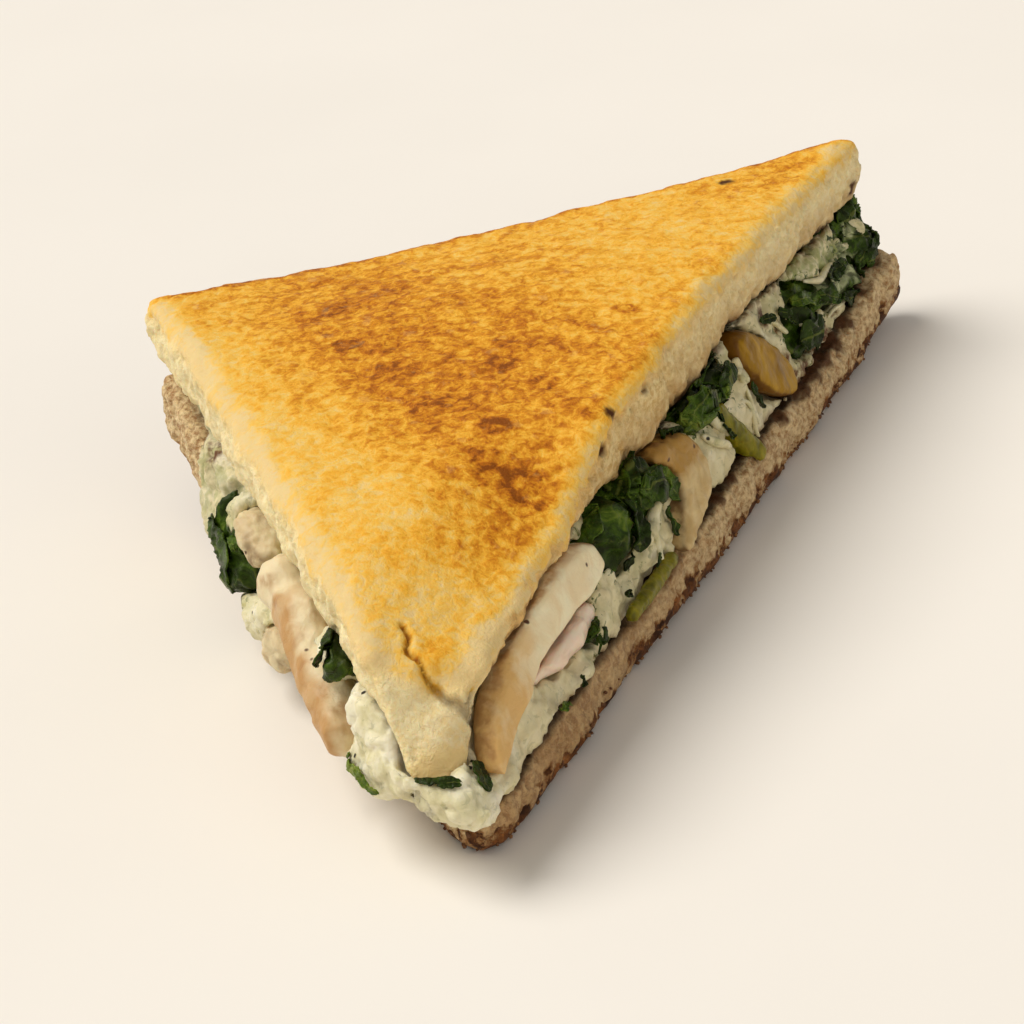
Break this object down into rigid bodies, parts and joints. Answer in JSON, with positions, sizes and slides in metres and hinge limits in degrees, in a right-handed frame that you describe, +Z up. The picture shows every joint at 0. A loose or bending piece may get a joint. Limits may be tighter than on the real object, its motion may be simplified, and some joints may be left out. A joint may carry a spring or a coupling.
{
  "type": "toasted spinach sandwich half",
  "caption": "Triangular half of a toasted crustless sandwich filled with wilted spinach, mushroom and melted cheese, cut corner to corner.",
  "frame": {"origin": "middle of the base of the bounding box, on the surface that the lower slice rests on", "axes": "+Z up, +X along the diagonal knife cut from the drooping tip to the back corner, -Y out of the cut"},
  "size_m": [0.1424, 0.079, 0.0286],
  "materials": {
    "toasted_bread": "dry toasted crumb, golden to brown on the broad faces and creamy white at the cut sides",
    "melted_cheese": "soft glossy greenish white",
    "spinach_leaf": "wilted, moist dark green",
    "mushroom_flesh": "cooked tan flesh with brown edges",
    "amber_slice": "soft translucent amber",
    "onion_flesh": "translucent pale lilac",
    "green_stem": "moist olive green"
  },
  "bodies": {
    "root": {"bread_lower": "toasted_bread", "bread_upper": "toasted_bread", "cheese": "melted_cheese", "spinach": "spinach_leaf", "mushroom_front": "mushroom_flesh", "mushroom_middle": "mushroom_flesh", "mushroom_log": "mushroom_flesh", "mushroom_side": "mushroom_flesh", "mushroom_low": "mushroom_flesh", "mushroom_back": "mushroom_flesh", "mushroom_corner": "mushroom_flesh", "amber_slice": "amber_slice", "onion_front": "onion_flesh", "stem_middle": "green_stem", "stem_front": "green_stem"}
  },
  "joints": []
}
